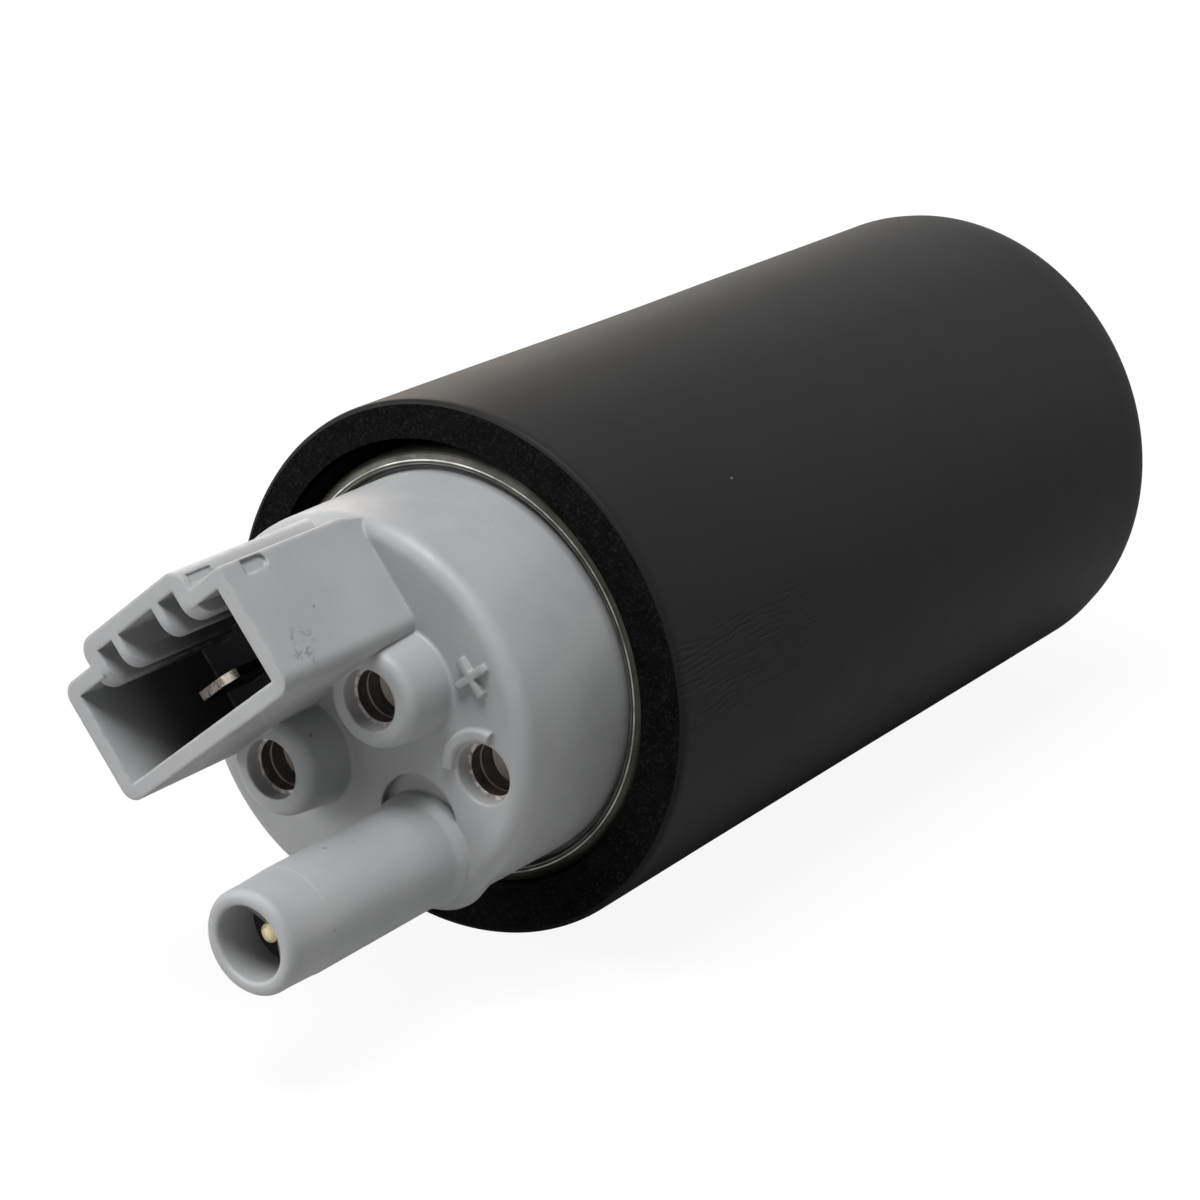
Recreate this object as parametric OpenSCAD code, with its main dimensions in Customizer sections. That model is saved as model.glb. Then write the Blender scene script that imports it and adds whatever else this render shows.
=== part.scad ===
// Electric fuel pump in a push-on foam sleeve, in millimetres.
// The pump's axis is Y. The outlet and the plug socket face -Y, the inlet faces +Y.
// The origin is the centre of the foam sleeve, and +Z is up.

/* [Foam sleeve] */
// Length of the sleeve along the pump
sleeve_len = 85; // [80:1:110]
// Wall of the sleeve
foam_wall = 4.3; // [2.5:0.1:9]
// Slack between the sleeve's bore and the case, on the radius
sleeve_slack = 0.2; // [0.05:0.05:0.5]
// Rounding of the sleeve's outer edges
sleeve_edge = 0.5; // [0.3:0.1:1.8]

/* [Case] */
// Outside diameter of the steel case
case_d = 39; // [37.5:0.5:41]
// Sheet thickness of the case
case_wall = 1.2; // [0.8:0.1:1.4]
// How far the front lip sits inside the sleeve's front face
case_set = 0.7; // [0.2:0.1:3]
// How far each rolled lip reaches in from the case's bore
lip_reach = 0.35; // [0.2:0.05:0.5]

/* [End cap] */
// Diameter of the cap where it leaves the case
cap_d = 35.2; // [34:0.2:35.4]
// Draft taken off the cap's radius at its front edge
cap_draft = 0.2; // [0:0.05:0.4]
// How far the cap's face stands in front of the sleeve
cap_stand = 12.8; // [11:0.2:16]
// Rounding of the cap's front edge
cap_edge = 1.5; // [0.6:0.1:1.8]
// Turn of the cap's features about the pump's axis, in degrees
cap_turn = 38.8; // [0:0.1:90]
// Length of the cap inside the case, behind the lip
skirt_len = 7.6; // [6.8:0.2:10]
// Depth of the hollow in the cap's rear
hollow_depth = 5; // [4.6:0.1:6]
// Wall of the cap's skirt beside that hollow
skirt_wall = 2.8; // [2.4:0.1:3.2]
// Thickness of both seal rings
seal_d = 1.8; // [1.4:0.1:2]

/* [Brush towers] */
// Distance between the two towers' axes
tower_pitch = 13.66; // [13.2:0.1:14.4]
// Outside diameter of a tower at its rim
tower_d = 8.7; // [8:0.1:9.2]
// Height of a tower above the cap's face
tower_h = 4.8; // [3:0.1:7]
// Diameter of the brush hole
tower_hole_d = 5.3; // [5:0.1:5.5]
// Rounding of a tower's rim
tower_edge = 1; // [0.2:0.1:1.2]
// Draft that widens a tower's radius towards its root
tower_draft = 0.35; // [0:0.05:0.4]
// Fillet at a tower's root
tower_fillet = 0.3; // [0.2:0.1:0.8]
// Depth of the metal plug behind the rim
plug_set = 1.4; // [0.6:0.1:2.5]
// Length of a brush plug
plug_len = 3.2; // [2.4:0.1:4]
// Sheet thickness of the metal plugs
plug_wall = 0.35; // [0.25:0.05:0.5]

/* [Brushes] */
// Length of a carbon brush
brush_len = 12; // [9:0.5:13]
// Running clearance round a brush
brush_gap = 0.08; // [0.05:0.01:0.1]
// Gap between a brush and the commutator's face
brush_lift = 0.05; // [0.02:0.01:0.1]
// Thickness of a brush's copper shunt
shunt_d = 0.9; // [0.6:0.1:1.2]
// Wire of the brush springs
brush_wire = 0.4; // [0.3:0.05:0.5]

/* [Relief valve] */
// Relief hole's place along the towers' line
relief_u = 9; // [8.6:0.1:9.2]
// Relief hole's place across the towers' line
relief_v = -9.7; // [-10:0.1:-9]
// Diameter of the relief hole
relief_hole_d = 5.28; // [5:0.04:5.5]
// Diameter of the relief ball
relief_ball_d = 4.4; // [4:0.1:4.6]
// Diameter of the passage that the ball closes
relief_port_d = 2.6; // [2:0.1:3]
// Depth of the ball's seat below the cap's face
relief_depth = 11.5; // [10:0.1:13]
// Outer radius of the raised arc beside the relief hole
arc_r = 4; // [3.6:0.1:4.4]
// Height of the raised arc and of the plus sign above the cap's face
mark_h = 0.6; // [0.3:0.1:1]

/* [Outlet] */
// Outlet's place along the towers' line
outlet_u = -1.4; // [-1.8:0.1:-0.8]
// Outlet's place across the towers' line
outlet_v = -12.1; // [-12.3:0.1:-11.9]
// Outside diameter of the outlet tube
outlet_d = 9.2; // [8.8:0.1:9.4]
// Length of the tube in front of the cap's face
outlet_len = 21.7; // [16:0.5:30]
// Bore of the outlet tube
outlet_bore_d = 6.4; // [6:0.1:6.6]
// Diameter of the collar at the tube's root
collar_d = 10; // [9.6:0.1:10.2]
// Diameter of the round recess beside the tube's root
recess_d = 7.9; // [6:0.1:8.4]
// Depth of that recess
recess_depth = 0.8; // [0.6:0.1:1.2]
// Depth of the check valve behind the tube's mouth
valve_set = 4.4; // [3.5:0.1:8]
// Diameter of the passage that the check valve closes
valve_port_d = 3.6; // [3:0.1:4]
// Travel of the check valve
valve_travel = 1.5; // [1:0.1:1.6]
// Diameter of the check valve's pin
valve_pin_d = 1.6; // [1.2:0.1:1.8]

/* [Plug socket] */
// Inside width of the socket
socket_w = 19.7; // [19.2:0.1:20.2]
// Inside height of the socket
socket_h = 8.3; // [7.8:0.1:8.8]
// Length of the socket in front of the cap's face
socket_len = 16.1; // [12:0.1:20]
// Depth of the socket
socket_depth = 14.3; // [11:0.1:15]
// Wall of the socket
socket_wall = 1.4; // [1.1:0.05:1.5]
// Distance from the towers' line to the socket's lower inner wall
socket_v = 4.2; // [4.1:0.1:4.4]
// Outside width of the hump on the socket
hump_w = 14.1; // [13:0.1:15]
// Height of the hump's ceiling above the socket's upper inner wall
hump_rise = 2.05; // [1.5:0.05:2.4]
// How far the socket's ribs hang below its upper inner wall
rib_drop = 1; // [0.6:0.1:1.4]
// Thickness of the two middle ribs
rib_t = 0.95; // [0.6:0.05:1.2]

/* [Terminals] */
// Distance between the two blades' centres
blade_pitch = 9; // [8.8:0.1:9.6]
// Width of a blade
blade_w = 5.1; // [4.6:0.1:5.4]
// Thickness of a blade
blade_t = 0.8; // [0.6:0.1:1]
// Length of a blade in front of the socket's floor
blade_len = 6.4; // [5:0.1:9]

/* [Suppression chokes] */
// Diameter of a ferrite core
core_rod_d = 3; // [2.6:0.1:3.2]
// Length of a ferrite core
core_rod_len = 10; // [8:0.5:11]
// Wire of the choke coils
choke_wire = 0.6; // [0.5:0.05:0.7]

/* [Motor] */
// Length of the flux ring
ring_len = 53.3; // [50:0.1:60]
// Wall of the flux ring
ring_wall = 1.5; // [1:0.1:1.6]
// Thickness of a magnet
magnet_t = 4.8; // [4:0.1:5]
// Length of a magnet
magnet_len = 36; // [28:1:38]
// Air gap between the magnets and the armature
air_gap = 0.5; // [0.3:0.05:0.7]
// Length of the laminated core
core_len = 32; // [26:1:32]
// Number of core slots and commutator segments
slots = 8; // [6:1:8]
// Depth of a core slot
slot_depth = 5.2; // [4:0.1:5.6]
// Width of a core slot at its outer end
slot_w = 4.1; // [3:0.1:4.6]
// Diameter of the armature's shaft and of the stub shaft
shaft_d = 4; // [3.6:0.1:4.2]
// Running clearance of the shafts, on the radius
shaft_gap = 0.04; // [0.02:0.01:0.08]
// Length of the front bush
bush_len = 5.5; // [4:0.5:6]
// Thickness of a thrust washer
washer_t = 0.5; // [0.3:0.1:0.6]
// Thickness of the commutator's copper face
copper_t = 1.6; // [1.2:0.1:1.8]
// Length of one winding head
head_len = 6; // [4:0.2:6]

/* [Pump stage] */
// Thickness of the outlet port plate
plate_t = 5.7; // [5:0.1:7]
// Thickness of the rotors
rotor_t = 5.5; // [4:0.1:8]
// Clearance at each face of the rotors
face_gap = 0.03; // [0.02:0.01:0.05]
// Clearance of the rotor teeth
tooth_gap = 0.08; // [0.06:0.01:0.1]
// Distance between the two rotors' axes
offset_e = 1.2; // [1:0.05:1.3]
// Number of teeth on the inner rotor
teeth = 6; // [5:1:7]
// Radius at which the outer rotor's lobes sit
lobe_r = 11; // [10.6:0.1:11.2]
// Radius of one lobe
lobe_size = 3.2; // [2.9:0.1:3.4]
// Wall of the outer rotor behind its deepest pocket
rotor_wall = 3.2; // [2.6:0.1:3.4]
// Thickness of the inlet body behind the rotors
inlet_t = 6.7; // [6:0.1:8]
// Outside diameter of the inlet neck
neck_d = 18.8; // [18:0.2:20]
// Wall of the inlet neck
neck_wall = 2; // [1.6:0.1:2.4]
// Length of the inlet neck behind the case
neck_len = 8.1; // [6:0.1:14]

/* [Hidden] */
$fn = 64;

// Clearance between parts that are stacked in the case
fit = 0.1;
// A cut runs this far past the face that it opens
over = 1;

// Radii, from the case inwards
case_r = case_d / 2;
sleeve_r = case_r + sleeve_slack + foam_wall;
bore_r = case_r - case_wall;
stack_r = bore_r - fit;
lip_r = bore_r - lip_reach;
cap_r = cap_d / 2;
cap_front_r = cap_r - cap_draft;
hollow_r = stack_r - skirt_wall;
ring_ri = stack_r - ring_wall;
magnet_ro = ring_ri - fit / 2;
magnet_ri = magnet_ro - magnet_t;
core_r = magnet_ri - air_gap;

// Stations along the pump, from the front
sleeve_front = -sleeve_len / 2;
sleeve_rear = sleeve_len / 2;
case_front = sleeve_front + case_set;
flange_front = case_front + case_wall;
skirt_rear = flange_front + skirt_len;
ring_rear = skirt_rear + ring_len;
plate_rear = ring_rear + plate_t;
cam_t = rotor_t + 2 * face_gap;
cam_rear = plate_rear + cam_t;
inlet_rear = cam_rear + inlet_t;
case_rear = inlet_rear + case_wall;
neck_rear = case_rear + neck_len;
cap_face = sleeve_front - cap_stand;
web_rear = skirt_rear - hollow_depth;

// Seal grooves
groove_w = seal_d + 0.2;
seal_slack = 0.05;
groove_r = bore_r - seal_d - seal_slack;
cap_groove_front = flange_front + 2.4;
inlet_groove_front = cam_rear + 2.2;

// Brush holders
tower_u = tower_pitch / 2;
tower_hole_r = tower_hole_d / 2;
tower_rim = cap_face - tower_h;
plug_front = tower_rim + plug_set;
plug_back = plug_front + plug_len;
comm_face = web_rear + 2;
brush_front = comm_face - brush_lift - brush_len;
brush_r = tower_hole_r - brush_gap;
brush_tail = comm_face - brush_lift;

// Relief valve
relief_hole_r = relief_hole_d / 2;
relief_seat = cap_face + relief_depth;
relief_ball_r = relief_ball_d / 2;
relief_port_r = relief_port_d / 2;
ball_y = relief_seat - sqrt(pow(relief_ball_r, 2) - pow(relief_port_r, 2));
relief_plug_front = cap_face + plug_set;
relief_plug_back = relief_plug_front + plug_len;

// Place of the plus sign beside the positive tower
plus_u = tower_u + tower_d / 2 + 2.3;
plus_v = -2.67;

// Check valve
outlet_r = outlet_d / 2;
outlet_bore_r = outlet_bore_d / 2;
outlet_tip = cap_face - outlet_len;
recess_u = outlet_u + 1.6;
recess_v = outlet_v + 2.2;
cage_front = outlet_tip + valve_set;
cage_wall = 0.45;
cage_face_t = 1;
poppet_t = 1.2;
spring_room = valve_travel + 0.9;
poppet_front = cage_front + cage_face_t + spring_room;
valve_seat = poppet_front + poppet_t;
valve_pin_r = valve_pin_d / 2;
pin_front = cage_front - 2.2;
valve_port_r = valve_port_d / 2;

// Plug socket, in the cap's own directions: u along the towers' line, v across it
socket_u = socket_w / 2;
socket_top = socket_v + socket_h;
hump_top = socket_top + hump_rise;
hump_wall = 1.65;
hump_u = hump_w / 2;
socket_front = cap_face - socket_len;
socket_floor = socket_front + socket_depth;
rib_u = 2.4;
blade_u = blade_pitch / 2;
blade_v = socket_v + 3.6;
blade_tip = socket_floor - blade_len;

// Chokes lie in pockets behind the socket, each on its terminal's tail
choke_pocket_r = 2.7;
choke_pocket_front = cap_face + 5;
choke_front = choke_pocket_front + 0.6;
choke_coil_r = core_rod_d / 2 + fit + choke_wire / 2;
choke_v = blade_v + blade_t / 2 + choke_coil_r + choke_wire / 2 + fit;
choke_turns = 7;
choke_pitch = 1.2;

// Armature
shaft_r = shaft_d / 2;
bush_r = shaft_r + 1.3;
bush_front = web_rear - bush_len;
shaft_front = bush_front + 0.4;
comm_r = 9.9;
comm_hub_r = shaft_r + 1.6;
riser_w = 1.8;
riser_len = 3;
comm_base_rear = comm_face + 7.6;
insulator_t = 0.6;
head_front = comm_base_rear + 0.3;
core_front = head_front + head_len + insulator_t;
core_rear = core_front + core_len;
head_rear = core_rear + insulator_t + head_len;
rotor_front = plate_rear + face_gap;
coupling_rear = rotor_front - washer_t - 0.1;
rear_bush_front = coupling_rear - bush_len;
shaft_rear = rear_bush_front - 0.3;
stub_front = rear_bush_front + 0.1;
slot_mouth = 1.2;
tip_t = 1.1;
hub_r = shaft_r + 3.2;

// Rotors
lobes = teeth + 1;
pocket_r = lobe_r - lobe_size + 2 * offset_e + tooth_gap;
outer_rotor_r = pocket_r + rotor_wall;
cam_bore_r = outer_rotor_r + 0.06;
finger_r = 0.85;
finger_at = shaft_r + 2.1;
opening_r = max(finger_at + finger_r, hub_r) + 0.35;
neck_r = neck_d / 2;
neck_ri = neck_r - neck_wall;
boss_r = shaft_r + 2;
dowel_r = 1;
dowel_at = (stack_r + cam_bore_r) / 2 - 0.2;
dowel_front = ring_rear + 2;
dowel_rear = inlet_groove_front - 0.5;
port_inner = neck_ri - 1;
port_outer = pocket_r - offset_e;

// A round bar along the pump's axis from station a to station b
module bar(r, a, b) {
    translate([0, a, 0]) rotate([-90, 0, 0]) cylinder(r = r, h = b - a);
}

// A round tube along the pump's axis
module pipe(r_out, r_in, a, b) {
    difference() {
        bar(r_out, a, b);
        bar(r_in, a - over, b + over);
    }
}

// A solid turned about the pump's axis from points given as [radius, station]
module turned(points) {
    rotate([-90, 0, 0]) rotate_extrude() polygon(points);
}

// A flat outline in X and Z, thickened from station a to station b
module slab(a, b) {
    translate([0, b, 0]) rotate([90, 0, 0]) linear_extrude(b - a) children();
}

// Places a child at a point of the cap's face, and turns it with the cap
module on_cap(u = 0, v = 0) {
    rotate([0, -cap_turn, 0]) translate([u, 0, v]) children();
}

// Points of a quarter round with its centre at [r, y], from angle a in steps to angle b
function quarter(r, y, size, a, b, steps = 8) =
    [for (i = [0 : steps]) let (t = a + (b - a) * i / steps) [r + size * cos(t), y + size * sin(t)]];

// An outline with rounded corners, from w0 to w1 across and h0 to h1 up
module rounded(w0, w1, h0, h1, r) {
    translate([w0 + r, h0]) square([w1 - w0 - 2 * r, h1 - h0]);
    translate([w0, h0 + r]) square([w1 - w0, h1 - h0 - 2 * r]);
    for (x = [w0 + r, w1 - r], y = [h0 + r, h1 - r]) translate([x, y]) circle(r);
}

// One unbroken tube wound about Y, with closed ends. It is used for every spring and coil.
coil_rings = 8;
coil_sides = 6;
function coil_point(r, a, b, turns, t, side, wire) =
    let (
        turn = 360 * turns * t,
        lean = 360 * side / coil_sides,
        radius = r + wire * cos(lean)
    ) [radius * cos(turn), a + (b - a) * t + wire * sin(lean), radius * sin(turn)];
module coil(r, wire_d, a, b, turns) {
    wire = wire_d / 2;
    rings = round(coil_rings * turns);
    first = a + wire;
    last = b - wire;
    points = [for (i = [0 : rings], s = [0 : coil_sides - 1])
        coil_point(r, first, last, turns, i / rings, s, wire)];
    skin = [for (i = [0 : rings - 1], s = [0 : coil_sides - 1])
        let (
            n = (s + 1) % coil_sides,
            p = i * coil_sides + s,
            q = i * coil_sides + n
        ) each [[p, p + coil_sides, q + coil_sides], [p, q + coil_sides, q]]];
    front_end = [for (s = [1 : coil_sides - 2]) [0, s, s + 1]];
    last_ring = rings * coil_sides;
    rear_end = [for (s = [1 : coil_sides - 2]) [last_ring, last_ring + s + 1, last_ring + s]];
    polyhedron(points, concat(skin, front_end, rear_end), convexity = 10);
    echo("coil gap between turns", (last - first) / turns - wire_d);
}

// Foam

module foam_sleeve() {
    color("#2b2a2a") difference() {
        turned(concat(
            [[0, sleeve_front]],
            quarter(sleeve_r - sleeve_edge, sleeve_front + sleeve_edge, sleeve_edge, -90, 0),
            quarter(sleeve_r - sleeve_edge, sleeve_rear - sleeve_edge, sleeve_edge, 0, 90),
            [[0, sleeve_rear]]));
        bar(case_r + sleeve_slack, sleeve_front - over, sleeve_rear + over);
    }
}

// Case

// A steel tube whose ends are rolled in over the cap and the inlet body
module pump_case() {
    roll = case_wall - 0.1;
    curl = 0.3;
    color("#b9bcc0") difference() {
        turned(concat(
            quarter(lip_r + curl, case_front + curl, curl, 180, 270, 4),
            quarter(case_r - roll, case_front + roll, roll, -90, 0),
            quarter(case_r - roll, case_rear - roll, roll, 0, 90),
            quarter(lip_r + curl, case_rear - curl, curl, 90, 180, 4)));
        bar(bore_r, flange_front, inlet_rear);
    }
}

// End cap

module cap_body() {
    turned(concat(
        [[0, cap_face]],
        quarter(cap_front_r - cap_edge, cap_face + cap_edge, cap_edge, -90, 0),
        [[cap_r, flange_front], [stack_r, flange_front],
         [stack_r, cap_groove_front], [groove_r, cap_groove_front],
         [groove_r, cap_groove_front + groove_w], [stack_r, cap_groove_front + groove_w],
         [stack_r, skirt_rear], [hollow_r, skirt_rear], [hollow_r, web_rear], [0, web_rear]]));
}

// A swelling round the outlet's root, which stands out past the cap's side
module root_boss() {
    r = outlet_r + 1.3;
    front = cap_face + 0.4;
    soft = 1.6;
    turned(concat(
        [[0, front]],
        quarter(r - soft, front + soft, soft, -90, 0, 6),
        [[r - soft, case_front - 5], [0, case_front - 5]]));
}

// A brush tower with a rounded rim, a little draft and a filleted root
module tower() {
    rim_r = tower_d / 2;
    foot_r = rim_r + tower_draft + tower_fillet;
    root = [for (i = [0 : 6]) let (t = 180 + 90 * i / 6)
        [foot_r + tower_fillet * cos(t), cap_face - tower_fillet - tower_fillet * sin(t)]];
    turned(concat(
        [[0, tower_rim]],
        quarter(rim_r - tower_edge, tower_rim + tower_edge, tower_edge, -90, 0, 6),
        root,
        [[foot_r, cap_face + over], [0, cap_face + over]]));
}

// The outlet tube, with a round bead at its mouth, a slight swell behind it and a collar at the root
module outlet_tube() {
    lip = 0.7;
    inner_lip = 0.35;
    swell = 0.15;
    seam = 0.04;
    floor_y = cap_face + recess_depth;
    turned(concat(
        [[0, outlet_tip + inner_lip]],
        quarter(outlet_bore_r + 0.3, outlet_tip + inner_lip, inner_lip, 180, 270, 4),
        quarter(outlet_r - swell - lip, outlet_tip + lip, lip, -90, 0, 6),
        [[outlet_r - swell, outlet_tip + 2], [outlet_r - seam, outlet_tip + 5],
         [outlet_r, outlet_tip + 5.1], [outlet_r, cap_face - 1.2], [collar_d / 2, cap_face - 0.2],
         [collar_d / 2, floor_y + over], [0, floor_y + over]]));
}

// A whole outline from its right half and from the half that is mirrored to the left
function both_sides(right, left) =
    concat(right, [for (i = [len(left) - 1 : -1 : 0]) [-left[i][0], left[i][1]]]);

// Half of the socket's outline: round below, with a hump on its upper side
function socket_half(corner_r) =
    let (
        side = socket_u + socket_wall,
        roof = socket_top + socket_wall,
        low_r = 1.5,
        hump_r = 1.5
    ) concat(
        quarter(side - low_r, socket_v - socket_wall + low_r, low_r, -90, 0),
        quarter(side - corner_r, roof - corner_r, corner_r, 0, 90, 5),
        [[hump_u, roof]],
        quarter(hump_u - hump_r, hump_top + socket_wall - hump_r, hump_r, 0, 90));

// The socket's block. One upper corner is crisp and one is round, and both draw in to the cap's side.
module socket_block() {
    reach = norm([socket_u + socket_wall, socket_top + socket_wall]) + 0.2;
    rear = cap_face + cap_edge;
    intersection() {
        slab(socket_front, rear) polygon(both_sides(socket_half(0.4), socket_half(1.3)));
        turned([[0, socket_front - over], [reach, socket_front - over], [reach, cap_face - 4],
            [cap_front_r - 0.4, rear + over], [0, rear + over]]);
    }
}

// The socket's ribs: two thin ones and the hump's two side walls, with cut back front corners
module socket_ribs() {
    low = socket_top - rib_drop;
    high = hump_top + over;
    cut = 1.6;
    side = [[low, socket_floor + over], [low, socket_front + cut],
        for (i = [1 : 5]) let (t = 90 * i / 5)
            [low + cut * (1 - cos(t)), socket_front + cut * (1 - sin(t))],
        [high, socket_front], [high, socket_floor + over]];
    for (m = [-1, 1], rib = [[rib_u, rib_t], [hump_u - hump_wall, hump_wall]])
        translate([m > 0 ? rib[0] : -rib[0] - rib[1], 0, 0])
            rotate([90, 0, 90]) linear_extrude(rib[1])
                polygon([for (p = side) [p[1], p[0]]]);
}

// The socket's hollow, which leaves the ribs standing
module socket_hollow() {
    half = [[socket_u, socket_v], [socket_u, socket_top],
        [hump_u - hump_wall / 2, socket_top], [hump_u - hump_wall / 2, hump_top]];
    difference() {
        slab(socket_front - over, socket_floor) polygon(both_sides(half, half));
        socket_ribs();
    }
}

// Shallow moulding marks on the socket: one on its end wall, one on the hump's side
module socket_marks() {
    depth = 0.3;
    half = 0.62;
    near = socket_front + 2.2;
    far = socket_front + 4.9 - half;
    mark_v = socket_top + socket_wall - 0.9;
    translate([socket_u + socket_wall - depth, 0, 0]) rotate([90, 0, 90]) linear_extrude(depth + over)
        polygon(concat([[near, mark_v + half], [near, mark_v - half]], quarter(far, mark_v, half, -90, 90)));
    translate([hump_u - depth, socket_front + 0.7, socket_top + socket_wall + 0.3])
        cube([depth + over, 2.8, 0.9]);
}

// A raised arc beside the relief hole, centred across the towers' line
module raised_arc() {
    half = 54;
    inner = arc_r - 1.1;
    soft = 0.2;
    translate([0, cap_face, 0]) rotate([-90, 0, 0]) rotate([0, 0, -90 - half])
        rotate_extrude(angle = 2 * half) polygon([
            [inner, over], [inner, -mark_h + soft], [inner + soft, -mark_h],
            [arc_r - soft, -mark_h], [arc_r, -mark_h + soft], [arc_r, over]]);
}

module plus_sign() {
    arm = 3.5;
    wide = 0.65;
    for (turn = [0, 90]) rotate([0, turn, 0])
        translate([-arm / 2, cap_face - mark_h, -wide / 2]) cube([arm, mark_h + over, wide]);
}

// Ribs in the outlet's bore that stop the check valve's cage
module bore_ribs() {
    reach = 2.1;
    wide = 0.8;
    long = 0.7;
    for (turn = [0 : 120 : 240])
        rotate([0, -turn, 0]) translate([outlet_bore_r - reach, cage_front - long, -wide / 2])
            cube([reach + 0.3, long, wide]);
}

// Everything that stands on the cap's face
module cap_features() {
    on_cap(tower_u) tower();
    on_cap(-tower_u) tower();
    on_cap(outlet_u, outlet_v) outlet_tube();
    on_cap() socket_block();
    on_cap(relief_u, relief_v) raised_arc();
    on_cap(plus_u, plus_v) plus_sign();
}

// The brush hole, the choke pocket and the terminal slot on one side of the cap
module pole_holes(m) {
    slot_w = blade_w + fit;
    slot_t = blade_t + fit;
    on_cap(m * tower_u) bar(tower_hole_r, tower_rim - over, web_rear + over);
    on_cap(m * blade_u, choke_v) bar(choke_pocket_r, choke_pocket_front, web_rear + over);
    on_cap(m * blade_u, blade_v) translate([-slot_w / 2, socket_floor - over, -slot_t / 2])
        cube([slot_w, choke_pocket_front + 3 - socket_floor + over, slot_t]);
}

module outlet_end_cap() {
    color("#a3a5a8") difference() {
        union() {
            difference() {
                union() {
                    cap_body();
                    on_cap(outlet_u, outlet_v) root_boss();
                }
                on_cap(recess_u, recess_v) bar(recess_d / 2, cap_face - over, cap_face + recess_depth);
            }
            cap_features();
        }
        on_cap() socket_hollow();
        on_cap() socket_marks();
        pole_holes(-1);
        pole_holes(1);
        on_cap(relief_u, relief_v) {
            bar(relief_hole_r, cap_face - mark_h - over, relief_seat);
            bar(relief_port_r, relief_seat - over, web_rear + over);
        }
        on_cap(outlet_u, outlet_v) {
            difference() {
                bar(outlet_bore_r, outlet_tip - over, valve_seat);
                bore_ribs();
            }
            bar(valve_port_r, valve_seat - over, web_rear + over);
        }
        bar(bush_r, bush_front, web_rear + over);
    }
}

// Terminals

// A blade with a chamfered tip and a tail that meets the choke
module terminal() {
    tail = choke_pocket_front + 2.6;
    nose = 1;
    color("#c8c2b4") translate([0, 0, -blade_t / 2]) linear_extrude(blade_t) polygon([
        [-blade_w / 2 + nose, blade_tip], [blade_w / 2 - nose, blade_tip],
        [blade_w / 2, blade_tip + nose], [blade_w / 2, tail], [-blade_w / 2, tail],
        [-blade_w / 2, blade_tip + nose]]);
}
module positive_terminal() { on_cap(blade_u, blade_v) terminal(); }
module negative_terminal() { on_cap(-blade_u, blade_v) terminal(); }

// Brush gear

module brush() {
    color("#3a3a3c") difference() {
        bar(brush_r, brush_front, brush_tail);
        bar(shunt_d / 2, brush_front - over, brush_front + 2);
    }
}
module positive_brush() { on_cap(tower_u) brush(); }
module negative_brush() { on_cap(-tower_u) brush(); }

module brush_spring() {
    color("#8f9398") coil(brush_r - 0.5, brush_wire, plug_back, brush_front, 6);
}
module positive_brush_spring() { on_cap(tower_u) brush_spring(); }
module negative_brush_spring() { on_cap(-tower_u) brush_spring(); }

module brush_shunt() {
    color("#b4693f") bar(shunt_d / 2, plug_back, brush_front + 2);
}
module positive_brush_shunt() { on_cap(tower_u) brush_shunt(); }
module negative_brush_shunt() { on_cap(-tower_u) brush_shunt(); }

// A drawn metal cup, open to the front, with an optional hole in its floor
module cup(r, a, b, hole = 0) {
    color("#8d8f92") difference() {
        bar(r, a, b);
        bar(r - plug_wall, a - over, b - plug_wall);
        if (hole > 0) bar(hole, b - over, b + over);
    }
}
module positive_brush_plug() { on_cap(tower_u) cup(tower_hole_r, plug_front, plug_back); }
module negative_brush_plug() { on_cap(-tower_u) cup(tower_hole_r, plug_front, plug_back); }

// Chokes

module choke_coil() {
    color("#b4693f") coil(choke_coil_r, choke_wire, choke_front + 0.6,
        choke_front + 0.6 + choke_turns * choke_pitch + choke_wire, choke_turns);
}
module positive_choke_coil() { on_cap(blade_u, choke_v) choke_coil(); }
module negative_choke_coil() { on_cap(-blade_u, choke_v) choke_coil(); }
module choke_core() {
    color("#4a4644") bar(core_rod_d / 2, choke_front, choke_front + core_rod_len);
}
module positive_choke_core() { on_cap(blade_u, choke_v) choke_core(); }
module negative_choke_core() { on_cap(-blade_u, choke_v) choke_core(); }

// Relief valve

module relief_plug() {
    on_cap(relief_u, relief_v) cup(relief_hole_r, relief_plug_front, relief_plug_back, 0.8);
}
module relief_ball() {
    color("#d2d4d6") on_cap(relief_u, relief_v) translate([0, ball_y, 0]) sphere(relief_ball_r);
}
module relief_spring() {
    color("#8f9398") on_cap(relief_u, relief_v)
        coil(1.5, 0.4, relief_plug_back, ball_y - sqrt(pow(relief_ball_r, 2) - 1.5 * 1.5) - 0.15, 3);
}

// Check valve

// A black cage pressed into the outlet's bore, with a pierced front that guides the pin
module check_valve_cage() {
    color("#1d1d1e") on_cap(outlet_u, outlet_v) difference() {
        bar(outlet_bore_r, cage_front, valve_seat);
        bar(outlet_bore_r - cage_wall, cage_front + cage_face_t, valve_seat + over);
        bar(valve_pin_r + shaft_gap, cage_front - over, valve_seat);
        for (turn = [60 : 120 : 300]) rotate([0, -turn, 0]) translate([outlet_bore_r - cage_wall - 0.65, 0, 0])
            bar(0.6, cage_front - over, cage_front + 2);
    }
}
module check_valve_poppet() {
    r = outlet_bore_r - cage_wall - 0.35;
    color("#1d1d1e") on_cap(outlet_u, outlet_v) difference() {
        turned([[0, poppet_front], [r - 0.3, poppet_front], [r, poppet_front + 0.3],
            [r, valve_seat - 0.02], [0, valve_seat - 0.02]]);
        bar(valve_pin_r, poppet_front - over, valve_seat + over);
    }
}
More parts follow.
